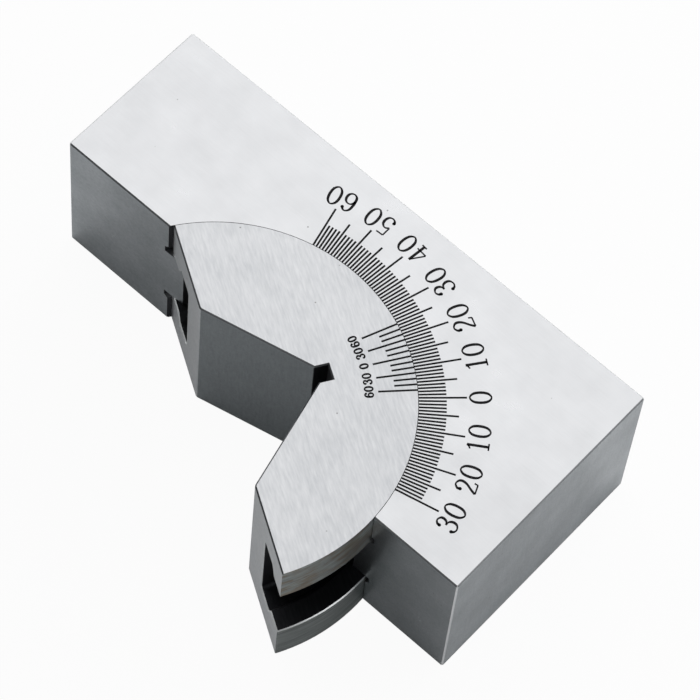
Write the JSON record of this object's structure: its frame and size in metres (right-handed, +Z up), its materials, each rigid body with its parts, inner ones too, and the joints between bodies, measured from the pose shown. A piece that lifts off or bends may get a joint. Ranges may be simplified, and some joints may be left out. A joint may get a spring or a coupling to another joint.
{
  "type": "v block",
  "caption": "Adjustable-angle steel v block: stepped block with a pocket, a turning rotor with a right-angle vee, engraved degree scale and vernier, and an arc clamp locked from the back.",
  "frame": {"origin": "middle of the bounding box at the base plane", "axes": "+X along the block's length toward the longer arm, +Y toward the back face, +Z up through the graduated face"},
  "size_m": [0.1, 0.0632, 0.032],
  "materials": {
    "ground_steel": "fine ground, satin",
    "black_oxide_screw": "black oxide, semi-gloss"
  },
  "bodies": {
    "block": {"block": "ground_steel", "clamp_shoe": "ground_steel"},
    "rotor": {"rotor": "ground_steel"},
    "left_screw": {"clamp_screw_left": "black_oxide_screw"},
    "right_screw": {"clamp_screw_right": "black_oxide_screw"}
  },
  "joints": [
    {"name": "rotor_angle", "type": "hinge", "parent": "block", "child": "rotor", "pos_m": [0, -0.01615, 0], "axis": [0, 0, 1], "range_deg": [-43.5, 46.5]},
    {"name": "left_screw_turn", "type": "hinge", "parent": "block", "child": "left_screw", "pos_m": [-0.01, 0.02312, 0.016], "axis": [0, 1, 0], "range_deg": [0, 180]},
    {"name": "right_screw_turn", "type": "hinge", "parent": "block", "child": "right_screw", "pos_m": [0.01, 0.02312, 0.016], "axis": [0, 1, 0], "range_deg": [0, 180]}
  ]
}
